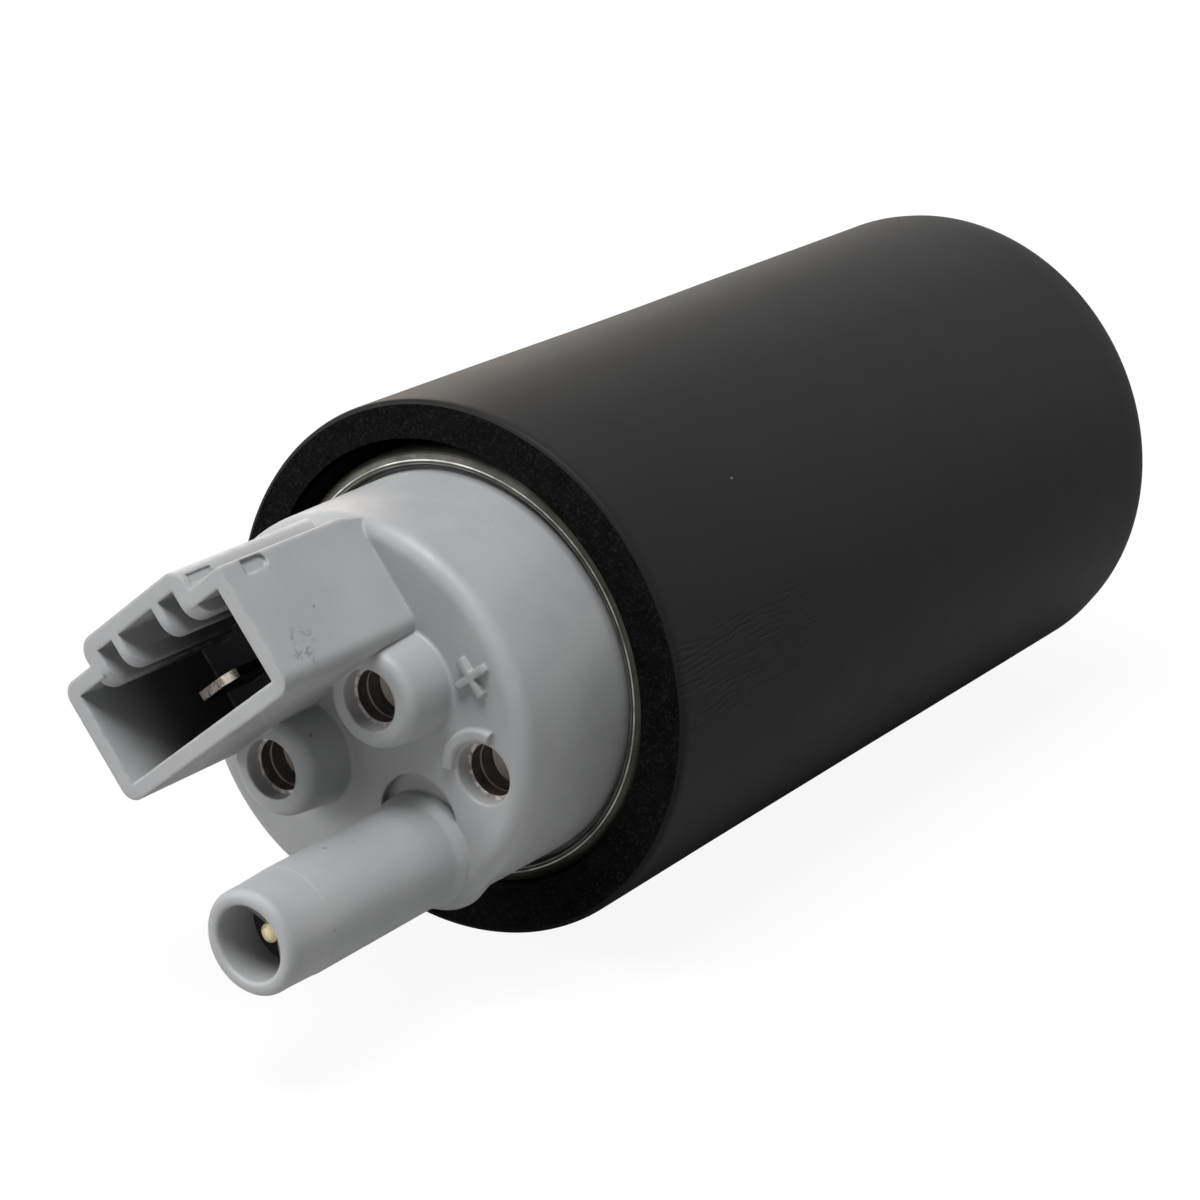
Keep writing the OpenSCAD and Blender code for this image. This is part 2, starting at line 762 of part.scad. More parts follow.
// The pin's yellow metal end shows in the outlet's mouth
module check_valve_pin() {
    dome = 0.35;
    color("#d9b65c") on_cap(outlet_u, outlet_v) turned([[0, pin_front], [valve_pin_r * 0.6, pin_front + 0.08],
        [valve_pin_r, pin_front + dome], [valve_pin_r, valve_seat + 0.8],
        [valve_pin_r - 0.3, valve_seat + 1.1], [0, valve_seat + 1.1]]);
}
module check_valve_spring() {
    color("#8f9398") on_cap(outlet_u, outlet_v)
        coil(valve_pin_r + 0.5, 0.35, cage_front + cage_face_t, poppet_front, 2);
}

// Seals

module ring_seal(a) {
    color("#242424") rotate([-90, 0, 0]) rotate_extrude()
        translate([groove_r + (seal_d + seal_slack) / 2, a + groove_w / 2]) circle(seal_d / 2, $fn = 32);
}
module end_cap_seal() { ring_seal(cap_groove_front); }
module inlet_seal() { ring_seal(inlet_groove_front); }

// Bearings

module front_bush() {
    color("#9a7b4f") pipe(bush_r, shaft_r + shaft_gap, bush_front + 0.2, web_rear);
}
module front_thrust_washer() {
    color("#d8d4c4") pipe(bush_r, shaft_r, web_rear + 0.05, web_rear + 0.05 + washer_t);
}
module rear_bush() {
    color("#9a7b4f") pipe(bush_r, shaft_r + shaft_gap, rear_bush_front, coupling_rear);
}
module rear_thrust_washer() {
    color("#d8d4c4") pipe(finger_at - finger_r - 0.1, shaft_r + shaft_gap, coupling_rear + 0.05, coupling_rear + 0.05 + washer_t);
}

// Armature

module armature_shaft() {
    chamfer = 0.4;
    color("#c4c6c9") turned([[0, shaft_front], [shaft_r - chamfer, shaft_front], [shaft_r, shaft_front + chamfer],
        [shaft_r, shaft_rear - chamfer], [shaft_r - chamfer, shaft_rear], [0, shaft_rear]]);
}

// One slot's outline, before its corners meet the teeth
module slot_outline(shrink = 0) {
    base = core_r - slot_depth;
    translate([base + shrink, -slot_w / 4 + shrink / 2])
        square([slot_depth - tip_t - 2 * shrink, slot_w / 2 - shrink]);
    polygon([[base + slot_depth * 0.3, -slot_w / 4 + shrink / 2],
        [core_r - tip_t - shrink, -slot_w / 2 + shrink],
        [core_r - tip_t - shrink, slot_w / 2 - shrink],
        [base + slot_depth * 0.3, slot_w / 4 - shrink / 2]]);
}
module core_outline() {
    difference() {
        circle(core_r);
        for (i = [0 : slots - 1]) rotate(360 * i / slots) {
            slot_outline();
            translate([core_r - tip_t - 0.2, -slot_mouth / 2]) square([tip_t + over, slot_mouth]);
        }
    }
}
module armature_core() {
    color("#7d8084") difference() {
        slab(core_front, core_rear) core_outline();
        bar(shaft_r, core_front - over, core_rear + over);
    }
}
module armature_winding() {
    color("#a85f37") {
        for (i = [0 : slots - 1]) slab(core_front - insulator_t - 0.5, core_rear + insulator_t + 0.5)
            rotate(360 * i / slots) slot_outline(0.12);
        winding_head(head_front, core_front - insulator_t);
        winding_head(core_rear + insulator_t, head_rear);
    }
}
module winding_head(a, b) {
    inner = hub_r + 0.2;
    outer = core_r - tip_t - 0.2;
    round_r = 1.4;
    turned(concat(
        quarter(inner + round_r, a + round_r, round_r, 180, 270, 5),
        quarter(outer - round_r, a + round_r, round_r, 270, 360, 5),
        quarter(outer - round_r, b - round_r, round_r, 0, 90, 5),
        quarter(inner + round_r, b - round_r, round_r, 90, 180, 5)));
}
module insulator(a) {
    color("#cfc6a4") difference() {
        slab(a, a + insulator_t) difference() {
            circle(core_r - 0.2);
            for (i = [0 : slots - 1]) rotate(360 * i / slots) {
                slot_outline();
                translate([core_r - tip_t - 0.2, -slot_mouth / 2]) square([tip_t + over, slot_mouth]);
            }
        }
        bar(shaft_r, a - over, a + insulator_t + over);
    }
}
module front_insulator() { insulator(core_front - insulator_t); }
module rear_insulator() { insulator(core_rear); }

module commutator_base() {
    hub_front = web_rear + 0.1 + washer_t;
    base_r = comm_r - 0.15;
    color("#4b2f22") turned([[shaft_r, hub_front], [comm_hub_r, hub_front],
        [comm_hub_r, comm_face + copper_t], [base_r, comm_face + copper_t], [base_r, comm_base_rear - 1],
        [base_r - 1, comm_base_rear], [shaft_r, comm_base_rear]]);
}
module commutator_segments() {
    gap = 0.5;
    color("#b4693f") difference() {
        union() {
            pipe(comm_r, comm_hub_r + 0.2, comm_face, comm_face + copper_t);
            for (i = [0 : slots - 1]) rotate([0, 360 * (i + 0.5) / slots, 0])
                translate([comm_r - 0.1, comm_face + 0.3, -riser_w / 2]) cube([0.9, riser_len, riser_w]);
        }
        for (i = [0 : slots - 1]) rotate([0, 360 * i / slots, 0])
            translate([0, comm_face - over, -gap / 2]) cube([core_r + over, copper_t + 2 * over + 2, gap]);
    }
}

// A plastic dog on the armature's rear whose fingers drive the inner rotor
module drive_coupling() {
    front = core_rear + insulator_t;
    color("#d9d6c8") difference() {
        union() {
            bar(hub_r, front, coupling_rear);
            for (i = [0 : 2]) rotate([0, 120 * i, 0]) translate([finger_at, 0, 0])
                bar(finger_r, coupling_rear - over, plate_rear + rotor_t * 0.6);
        }
        bar(shaft_r, front - over, rear_bush_front + over);
        bar(bush_r, rear_bush_front, coupling_rear + over);
    }
}

// Field

// A piece of tube that reaches the half angle to each side of +Z
module sector(r_out, r_in, a, b, half) {
    wide = 2 * r_out;
    difference() {
        pipe(r_out, r_in, a, b);
        translate([-wide, a - over, -wide]) cube([2 * wide, b - a + 2 * over, wide]);
        for (m = [0, 1]) mirror([m, 0, 0]) rotate([0, half - 90, 0])
            translate([0, a - over, -wide]) cube([wide, b - a + 2 * over, wide]);
    }
}
magnet_half = 66;
magnet_front = core_front - (magnet_len - core_len) / 2;
module magnet() {
    sector(magnet_ro, magnet_ri, magnet_front, magnet_front + magnet_len, magnet_half);
}
module upper_magnet() { color("#3c3d40") magnet(); }
module lower_magnet() { color("#3c3d40") mirror([0, 0, 1]) magnet(); }

// A sheet spring that spreads the magnets apart: a curved back and two legs
module magnet_clip() {
    thick = 0.5;
    half = 90 - magnet_half - 2;
    front = magnet_front + 2;
    rear = magnet_front + magnet_len - 2;
    color("#a9acb0") rotate([0, 90, 0]) {
        sector(magnet_ro - 0.05, magnet_ro - 0.05 - thick, front, rear, half);
        for (m = [0, 1]) mirror([m, 0, 0]) rotate([0, half, 0])
            translate([-thick, front, magnet_ri + 1]) cube([thick, rear - front, magnet_t - 1.2]);
    }
}
module right_magnet_clip() { magnet_clip(); }
module left_magnet_clip() { mirror([1, 0, 0]) magnet_clip(); }

module flux_ring() {
    color("#8a8d91") pipe(stack_r, ring_ri, skirt_rear, ring_rear);
}

// Pump stage

// A kidney-shaped port between two radii, on the side that the angle names
module kidney(a, b, middle, half) {
    steps = 10;
    mid = (port_inner + port_outer) / 2;
    slab(a, b) {
        polygon(concat(
            [for (i = [0 : steps]) let (t = middle - half + 2 * half * i / steps)
                [port_inner * cos(t), port_inner * sin(t)]],
            [for (i = [steps : -1 : 0]) let (t = middle - half + 2 * half * i / steps)
                [port_outer * cos(t), port_outer * sin(t)]]));
        for (t = [middle - half, middle + half]) rotate(t) translate([mid, 0])
            circle((port_outer - port_inner) / 2);
    }
}
// Two locating pins through the pump stage
module at_dowels() {
    for (t = [-60, 60]) rotate([0, t, 0]) translate([dowel_at, 0, 0]) children();
}
module dowel_pins() {
    color("#c4c6c9") at_dowels() bar(dowel_r, dowel_front, dowel_rear);
}
module outlet_port_plate() {
    color("#b0b2b4") difference() {
        bar(stack_r, ring_rear, plate_rear);
        bar(opening_r, ring_rear - over, plate_rear + over);
        kidney(ring_rear - over, plate_rear + over, 90, 48);
        at_dowels() bar(dowel_r, dowel_front, plate_rear + over);
    }
}
module cam_ring() {
    color("#8a8d91") difference() {
        bar(stack_r, plate_rear, cam_rear);
        translate([-offset_e, 0, 0]) bar(cam_bore_r, plate_rear - over, cam_rear + over);
        at_dowels() bar(dowel_r, plate_rear - over, cam_rear + over);
    }
}
// The outer rotor has round lobes that mesh with the inner rotor's teeth
module outer_rotor() {
    color("#5f6164") translate([-offset_e, 0, 0]) slab(rotor_front, rotor_front + rotor_t) difference() {
        circle(outer_rotor_r, $fn = 128);
        difference() {
            circle(pocket_r, $fn = 128);
            for (i = [0 : lobes - 1]) rotate(360 * i / lobes) translate([lobe_r, 0]) circle(lobe_size);
        }
    }
}
// Draws points closer together at the tooth roots, where the outline turns fastest
function closer(s) = s - 0.8 * 180 / PI * sin(teeth * s) / teeth;
// The inner rotor's outline is the curve that rolls inside the lobes
function tooth_point(t) =
    let (
        lean = -atan2(sin(teeth * t), lobe_r / (offset_e * lobes) - cos(teeth * t)),
        size = lobe_size + tooth_gap
    ) [lobe_r * cos(t) - size * cos(t + lean) - offset_e * cos(lobes * t),
       -lobe_r * sin(t) + size * sin(t + lean) + offset_e * sin(lobes * t)];
module inner_rotor() {
    steps = 30 * teeth;
    color("#76787b") difference() {
        slab(rotor_front, rotor_front + rotor_t)
            polygon([for (i = [0 : steps - 1]) tooth_point(closer(360 * i / steps))]);
        bar(shaft_r + shaft_gap, rotor_front - over, rotor_front + rotor_t + over);
        for (i = [0 : 2]) rotate([0, 120 * i, 0]) translate([finger_at, 0, 0])
            bar(finger_r + 0.1, rotor_front - over, rotor_front + rotor_t + over);
    }
}
module stub_shaft() {
    color("#c4c6c9") bar(shaft_r, stub_front, inlet_rear);
}
module inlet_body() {
    color("#9da0a4") difference() {
        union() {
            turned([[0, cam_rear], [stack_r, cam_rear], [stack_r, inlet_groove_front],
                [groove_r, inlet_groove_front], [groove_r, inlet_groove_front + groove_w],
                [stack_r, inlet_groove_front + groove_w], [stack_r, inlet_rear], [neck_r + 1, inlet_rear],
                [neck_r, inlet_rear + 1], [neck_r, neck_rear - 1], [neck_r - 0.6, neck_rear], [0, neck_rear]]);
        }
        pipe(neck_ri, boss_r, cam_rear + 3.4, neck_rear + over);
        bar(boss_r + over, inlet_rear + 1, neck_rear + over);
        bar(shaft_r, cam_rear - over, inlet_rear);
        kidney(cam_rear - over, cam_rear + 4.6, -90, 48);
        at_dowels() bar(dowel_r, cam_rear - over, dowel_rear);
    }
}

foam_sleeve();
pump_case();
outlet_end_cap();
positive_terminal();
negative_terminal();
positive_brush();
negative_brush();
positive_brush_spring();
negative_brush_spring();
positive_brush_shunt();
negative_brush_shunt();
positive_brush_plug();
negative_brush_plug();
positive_choke_coil();
negative_choke_coil();
positive_choke_core();
negative_choke_core();
relief_plug();
relief_ball();
relief_spring();
check_valve_cage();
check_valve_poppet();
check_valve_pin();
check_valve_spring();
end_cap_seal();
front_bush();
front_thrust_washer();
armature_shaft();
armature_core();
armature_winding();
front_insulator();
rear_insulator();
commutator_base();
commutator_segments();
drive_coupling();
rear_bush();
rear_thrust_washer();
upper_magnet();
lower_magnet();
left_magnet_clip();
right_magnet_clip();
flux_ring();
outlet_port_plate();
cam_ring();
outer_rotor();
inner_rotor();
stub_shaft();
dowel_pins();
inlet_body();
inlet_seal();
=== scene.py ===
import math

import bmesh
import bpy
from mathutils import Matrix, Vector, noise


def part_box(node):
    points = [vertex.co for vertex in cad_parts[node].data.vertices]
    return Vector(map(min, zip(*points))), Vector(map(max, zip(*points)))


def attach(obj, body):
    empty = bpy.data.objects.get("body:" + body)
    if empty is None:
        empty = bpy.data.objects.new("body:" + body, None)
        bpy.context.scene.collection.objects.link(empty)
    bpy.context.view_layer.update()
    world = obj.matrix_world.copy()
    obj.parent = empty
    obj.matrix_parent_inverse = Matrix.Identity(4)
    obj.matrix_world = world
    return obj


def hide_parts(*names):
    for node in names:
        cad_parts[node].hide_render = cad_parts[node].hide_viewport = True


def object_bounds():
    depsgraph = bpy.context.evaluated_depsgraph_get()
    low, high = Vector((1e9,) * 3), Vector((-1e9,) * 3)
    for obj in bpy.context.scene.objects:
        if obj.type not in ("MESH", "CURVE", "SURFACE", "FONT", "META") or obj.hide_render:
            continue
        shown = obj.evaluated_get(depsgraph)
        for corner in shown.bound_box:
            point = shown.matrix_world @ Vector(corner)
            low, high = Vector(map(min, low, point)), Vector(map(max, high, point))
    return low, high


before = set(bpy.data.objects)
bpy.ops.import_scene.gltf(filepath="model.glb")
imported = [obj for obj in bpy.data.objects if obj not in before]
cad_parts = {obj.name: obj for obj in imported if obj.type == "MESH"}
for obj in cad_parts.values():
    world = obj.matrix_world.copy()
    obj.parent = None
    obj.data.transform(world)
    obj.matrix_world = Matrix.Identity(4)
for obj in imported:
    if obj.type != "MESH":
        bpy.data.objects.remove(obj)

cad_low, cad_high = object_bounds()

# Motor case: a drawn steel tube with a dull zinc finish. Both ends are rolled in over the mouldings,
# and the roller leaves fine rings. Two narrow bright lines along each lip are painted highlights.


def effect(name, inputs, outputs):
    """An empty shader node group. Inputs are (name, kind, value) and outputs are (name, kind)."""
    group = bpy.data.node_groups.new(name, "ShaderNodeTree")
    for label, kind, value in inputs:
        socket = group.interface.new_socket(name=label, in_out="INPUT", socket_type="NodeSocket" + kind)
        socket.default_value = value
    for label, kind in outputs:
        group.interface.new_socket(name=label, in_out="OUTPUT", socket_type="NodeSocket" + kind)
    return group


def feed(tree, socket, value):
    """Links a socket to another one, or sets its value."""
    if isinstance(value, bpy.types.NodeSocket):
        tree.links.new(value, socket)
    else:
        socket.default_value = value


def add(tree, kind, **values):
    """Adds a node. Values are sockets by name, or the node's own settings."""
    node = tree.nodes.new("ShaderNode" + kind)
    for key, value in values.items():
        socket = node.inputs.get(key.replace("_", " ").title())
        if socket is None:
            setattr(node, key, value)
        else:
            feed(tree, socket, value)
    return node


def maths(tree, operation, a, b=0.0):
    """One sum on two values or sockets. Returns its output."""
    node = tree.nodes.new("ShaderNodeMath")
    node.operation = operation
    feed(tree, node.inputs[0], a)
    feed(tree, node.inputs[1], b)
    return node.outputs[0]


def vector_maths(tree, operation, *vectors):
    """One sum on vectors that gives a single value. Returns its output."""
    node = tree.nodes.new("ShaderNodeVectorMath")
    node.operation = operation
    for socket, vector in zip(node.inputs, vectors):
        feed(tree, socket, vector)
    return node.outputs["Value"]


def stretch(tree, value, low, high, to_low=0.0, to_high=1.0, smooth=True):
    """Maps a value from one range to another and holds it inside."""
    node = tree.nodes.new("ShaderNodeMapRange")
    node.interpolation_type = "SMOOTHSTEP" if smooth else "LINEAR"
    for socket, number in zip(node.inputs[:5], (value, low, high, to_low, to_high)):
        feed(tree, socket, number)
    return node.outputs[0]


def narrow_band(tree, value, middle, half):
    """1 at the middle of a narrow range of a value, falling to 0 at its ends."""
    off = maths(tree, "ABSOLUTE", maths(tree, "SUBTRACT", value, middle))
    return stretch(tree, off, half, half * 0.4)


def blend_colours(tree, share, a, b):
    """Mixes two colours by a share. Returns the colour socket."""
    node = tree.nodes.new("ShaderNodeMix")
    node.data_type = "RGBA"
    node.clamp_factor = True
    for socket, value in ((node.inputs[0], share), (node.inputs[6], a), (node.inputs[7], b)):
        feed(tree, socket, value)
    return node.outputs[2]


def object_place(tree):
    """The surface point in the piece's own coordinates."""
    return tree.nodes.new("ShaderNodeTexCoord").outputs["Object"]


def split(tree, vector):
    """The X, Y and Z sockets of a vector."""
    return add(tree, "SeparateXYZ", vector=vector).outputs


def axis_distance(tree, place):
    """Distance of a surface point from the pump's axis."""
    parts = split(tree, place)
    across = add(tree, "CombineXYZ", x=parts["X"], z=parts["Z"])
    return vector_maths(tree, "LENGTH", across.outputs[0])


def patchy_surface():
    """Slow changes of colour and gloss over a surface, with a fine grain."""
    group = effect("Patchy surface", [
        ("Light", "Color", (0.5, 0.5, 0.5, 1)), ("Dark", "Color", (0.4, 0.4, 0.4, 1)),
        ("Patch Scale", "Float", 120.0), ("Grain Scale", "Float", 2500.0),
        ("Smooth", "Float", 0.3), ("Rough", "Float", 0.5)], [
        ("Color", "Color"), ("Roughness", "Float"), ("Height", "Float")])
    given = group.nodes.new("NodeGroupInput").outputs
    end = group.nodes.new("NodeGroupOutput").inputs
    place = object_place(group)
    patches = add(group, "TexNoise", vector=place, scale=given["Patch Scale"], detail=5.0)
    finer = maths(group, "MULTIPLY", given["Patch Scale"], 2.7)
    gloss = add(group, "TexNoise", vector=place, scale=finer, detail=3.0)
    grain = add(group, "TexNoise", vector=place, scale=given["Grain Scale"], detail=2.0)
    share = stretch(group, patches.outputs["Fac"], 0.3, 0.7)
    feed(group, end["Color"], blend_colours(group, share, given["Dark"], given["Light"]))
    feed(group, end["Roughness"],
         stretch(group, gloss.outputs["Fac"], 0.3, 0.7, given["Smooth"], given["Rough"]))
    feed(group, end["Height"], grain.outputs["Fac"])
    return group


def turned_rings():
    """Fine rings left by a lathe or a roller round the pump's axis, on end faces and on sides."""
    group = effect("Turned rings", [("Scale", "Float", 3000.0)], [("Height", "Float")])
    given = group.nodes.new("NodeGroupInput").outputs
    end = group.nodes.new("NodeGroupOutput").inputs
    place = object_place(group)
    along = maths(group, "MULTIPLY", split(group, place)["Y"], 1.7)
    travel = maths(group, "ADD", axis_distance(group, place), along)
    ring = add(group, "TexNoise", noise_dimensions="1D", w=travel, scale=given["Scale"], detail=3.0)
    feed(group, end["Height"], ring.outputs["Fac"])
    return group


def small_specks():
    """Scattered small spots. Share is how many of the cells hold one."""
    group = effect("Small specks", [
        ("Scale", "Float", 400.0), ("Size", "Float", 0.2), ("Share", "Float", 0.2)], [("Mask", "Float")])
    given = group.nodes.new("NodeGroupInput").outputs
    end = group.nodes.new("NodeGroupOutput").inputs
    cells = add(group, "TexVoronoi", vector=object_place(group), scale=given["Scale"])
    pick = add(group, "SeparateColor", color=cells.outputs["Color"]).outputs
    reach = maths(group, "MULTIPLY", given["Size"], pick["Green"])
    near = maths(group, "LESS_THAN", cells.outputs["Distance"], reach)
    chosen = maths(group, "LESS_THAN", pick["Red"], given["Share"])
    feed(group, end["Mask"], maths(group, "MULTIPLY", near, chosen))
    return group


patchy = patchy_surface()
rings = turned_rings()
specks = small_specks()


def place_effect(tree, group, **values):
    """Places a group in a material and sets its inputs."""
    node = tree.nodes.new("ShaderNodeGroup")
    node.node_tree = group
    for key, value in values.items():
        node.inputs[key.replace("_", " ").title()].default_value = value
    return node


def drive(made, label, socket):
    """Feeds one of the inputs of a material's shader."""
    made.node_tree.links.new(socket, made.node_tree.nodes["Principled BSDF"].inputs[label])


def source(made, label):
    """The socket that now feeds one of the inputs of a material's shader."""
    return made.node_tree.nodes["Principled BSDF"].inputs[label].links[0].from_socket


def emboss(made, height, strength, distance):
    """Gives a material its relief from a height, in place of any it had."""
    relief = add(made.node_tree, "Bump", strength=strength, distance=distance, height=height)
    drive(made, "Normal", relief.outputs["Normal"])


def finish(name, light, dark, metallic=0.0, gloss=(0.35, 0.5), patch=120.0, grain=2500.0, bump=0.1,
           depth=0.00002, level=0.5, ring=0.0, ring_scale=3000.0):
    """A material whose colour, gloss and grain change over the surface, with lathe rings where asked."""
    made = bpy.data.materials.new(name)
    made.use_nodes = True
    tree = made.node_tree
    shader = tree.nodes["Principled BSDF"]
    shader.inputs["Metallic"].default_value = metallic
    shader.inputs["Specular IOR Level"].default_value = level
    body = place_effect(tree, patchy, light=(*light, 1), dark=(*dark, 1), patch_scale=patch,
                        grain_scale=grain, smooth=gloss[0], rough=gloss[1])
    height = body.outputs["Height"]
    if ring:
        marks = place_effect(tree, rings, scale=ring_scale)
        height = maths(tree, "ADD", height, maths(tree, "MULTIPLY", marks.outputs["Height"], ring))
    drive(made, "Base Color", body.outputs["Color"])
    drive(made, "Roughness", body.outputs["Roughness"])
    emboss(made, height, bump, depth)
    return made


def lay_colour(made, share, colour):
    """Lays a plain colour over a material's own by a mask."""
    under = source(made, "Base Color")
    drive(made, "Base Color", blend_colours(made.node_tree, share, under, (*colour, 1)))


def lay_spots(made, colour, share_of_cells, scale, size, strength=1.0, roughness=None):
    """Lays small spots of another colour over a material, and of another roughness where asked."""
    tree = made.node_tree
    spots = place_effect(tree, specks, scale=scale, size=size, share=share_of_cells)
    mask = maths(tree, "MULTIPLY", spots.outputs["Mask"], strength)
    lay_colour(made, mask, colour)
    if roughness is not None:
        own = source(made, "Roughness")
        drive(made, "Roughness", stretch(tree, mask, 0.0, 1.0, own, roughness, smooth=False))


def coat_node(made, *names):
    """Gives CAD nodes this material on each of their slots."""
    for name in names:
        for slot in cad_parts[name].material_slots:
            slot.material = made


# Radii of the two painted highlight lines on the front lip.
OUTER_HIGHLIGHT_R = 0.0185
INNER_HIGHLIGHT_R = 0.0182


def rolled_case_finish():
    """Dull zinc, with two painted highlight lines on the lip, broken up by noise."""
    made = finish("dull zinc case steel", (0.07, 0.069, 0.058), (0.035, 0.034, 0.028), metallic=0.7,
                  gloss=(0.38, 0.55), patch=300.0, grain=1800.0, bump=0.3, depth=0.00004, ring=0.5,
                  ring_scale=2600.0)
    tree = made.node_tree
    place = object_place(tree)
    radius = axis_distance(tree, place)
    # The lip's two highlights are painted as narrow pale bands of colour at these radii.
    outer_highlight = narrow_band(tree, radius, OUTER_HIGHLIGHT_R, 0.00009)
    inner_highlight = maths(tree, "MULTIPLY", narrow_band(tree, radius, INNER_HIGHLIGHT_R, 0.00007), 0.35)
    breakup_noise = add(tree, "TexNoise", vector=place, scale=260.0, detail=5.0, roughness=0.7)
    broken = stretch(tree, breakup_noise.outputs["Fac"], 0.32, 0.62, 0.25, 1.0)
    line = maths(tree, "MULTIPLY", maths(tree, "MAXIMUM", outer_highlight, inner_highlight), broken)
    lay_colour(made, line, (0.72, 0.72, 0.69))
    return made


coat_node(rolled_case_finish(), "pump_case")

# Motor field: a rolled steel flux ring with two arc magnets of fired ferrite, spread apart by
# two spring clips of bright strip steel.

drawn_steel = finish("rolled flux ring steel", (0.42, 0.42, 0.43), (0.28, 0.28, 0.29), metallic=1.0,
                     gloss=(0.35, 0.5), bump=0.2, ring=0.4, ring_scale=1800.0)
coat_node(drawn_steel, "flux_ring")
fired_ferrite = finish("fired ferrite", (0.075, 0.075, 0.08), (0.04, 0.04, 0.045), gloss=(0.5, 0.7),
                       patch=300.0, grain=4000.0, bump=0.35, depth=0.00005)
lay_spots(fired_ferrite, (0.16, 0.16, 0.17), 0.3, 1500.0, 0.35)
coat_node(fired_ferrite, "upper_magnet", "lower_magnet", "positive_choke_core", "negative_choke_core")
strip_steel = finish("bright spring strip", (0.6, 0.6, 0.62), (0.45, 0.45, 0.47), metallic=1.0,
                     gloss=(0.22, 0.35), patch=500.0, bump=0.12)
coat_node(strip_steel, "left_magnet_clip", "right_magnet_clip")

# Armature: a ground shaft through stacked steel laminations, wound with enamelled copper wire.
# Card insulators part the wire from the core, and the commutator is copper on a phenolic hub.

ground_steel = finish("ground shaft steel", (0.68, 0.69, 0.70), (0.55, 0.56, 0.58), metallic=1.0,
                      gloss=(0.1, 0.2), patch=300.0, bump=0.06, ring=1.0, ring_scale=6000.0)
coat_node(ground_steel, "armature_shaft", "stub_shaft", "dowel_pins", "relief_ball")

# A wave texture repeats at this distance when its scale is 1.
WAVE_PERIOD = 2 * math.pi / 20
SHEET_THICKNESS = 0.0005


def lamination_finish():
    """Dark sheet steel in thin layers, stacked along the shaft."""
    made = finish("stacked lamination steel", (0.34, 0.34, 0.36), (0.2, 0.2, 0.21), metallic=1.0,
                  gloss=(0.38, 0.55), bump=0.15)
    tree = made.node_tree
    sheets = add(tree, "TexWave", vector=object_place(tree), wave_type="BANDS", bands_direction="Y",
                 wave_profile="SIN", scale=WAVE_PERIOD / SHEET_THICKNESS, distortion=0.4, detail=1.0)
    sheet = stretch(tree, sheets.outputs["Fac"], 0.0, 0.25)
    joint = (0.05, 0.045, 0.04, 1)
    drive(made, "Base Color", blend_colours(tree, sheet, joint, source(made, "Base Color")))
    emboss(made, sheet, 0.6, 0.00006)
    return made


coat_node(lamination_finish(), "armature_core")


def wound_wire_finish():
    """Enamelled wire laid in close turns, seen as fine bright and dark strands."""
    made = finish("enamelled copper wire", (0.62, 0.27, 0.1), (0.42, 0.16, 0.06), metallic=1.0,
                  gloss=(0.22, 0.38), patch=350.0)
    tree = made.node_tree
    strands = add(tree, "TexWave", vector=object_place(tree), wave_type="BANDS", bands_direction="Y",
                  wave_profile="SIN", scale=130.0, distortion=2.5, detail=1.5, detail_scale=60.0)
    strand = stretch(tree, strands.outputs["Fac"], 0.0, 0.4)
    gap = (0.12, 0.04, 0.02, 1)
    drive(made, "Base Color", blend_colours(tree, strand, gap, source(made, "Base Color")))
    emboss(made, strands.outputs["Fac"], 0.8, 0.00015)
    return made


coat_node(wound_wire_finish(), "armature_winding")
enamelled_coil = finish("enamelled coil wire", (0.6, 0.27, 0.1), (0.45, 0.18, 0.07), metallic=1.0,
                        gloss=(0.2, 0.34), patch=500.0, bump=0.08)
coat_node(enamelled_coil, "positive_choke_coil", "negative_choke_coil")
slot_card = finish("slot insulation card", (0.62, 0.55, 0.38), (0.5, 0.43, 0.28), gloss=(0.6, 0.75),
                   patch=400.0, grain=5000.0, bump=0.3, depth=0.00004)
coat_node(slot_card, "front_insulator", "rear_insulator")
pressed_phenolic = finish("pressed phenolic", (0.11, 0.055, 0.035), (0.07, 0.035, 0.022), gloss=(0.3, 0.45),
                          patch=500.0, grain=3500.0, bump=0.15)
lay_spots(pressed_phenolic, (0.2, 0.12, 0.07), 0.35, 1400.0, 0.4)
coat_node(pressed_phenolic, "commutator_base")
worn_copper = finish("worn commutator copper", (0.72, 0.36, 0.2), (0.4, 0.2, 0.12), metallic=1.0,
                     gloss=(0.2, 0.4), patch=350.0, bump=0.25, ring=1.5, ring_scale=5000.0)
coat_node(worn_copper, "commutator_segments")

# Bearings: oil filled bronze bushes pressed from powder, with thin nylon thrust washers.

powder_bronze = finish("oil filled bronze", (0.46, 0.31, 0.15), (0.3, 0.2, 0.1), metallic=1.0,
                       gloss=(0.4, 0.55), patch=500.0, grain=6000.0, bump=0.4, depth=0.00004)
lay_spots(powder_bronze, (0.08, 0.05, 0.03), 0.35, 2500.0, 0.4, roughness=0.6)
coat_node(powder_bronze, "front_bush", "rear_bush")
plain_nylon = finish("plain nylon", (0.74, 0.71, 0.61), (0.66, 0.62, 0.52), gloss=(0.35, 0.5), patch=250.0,
                     bump=0.12)
coat_node(plain_nylon, "front_thrust_washer", "rear_thrust_washer", "drive_coupling")

# Pump stage: a toothed rotor turns inside a lobed one, between ground faces of die cast
# aluminium. The rotors are pressed from steel powder and hold oil in their pores.

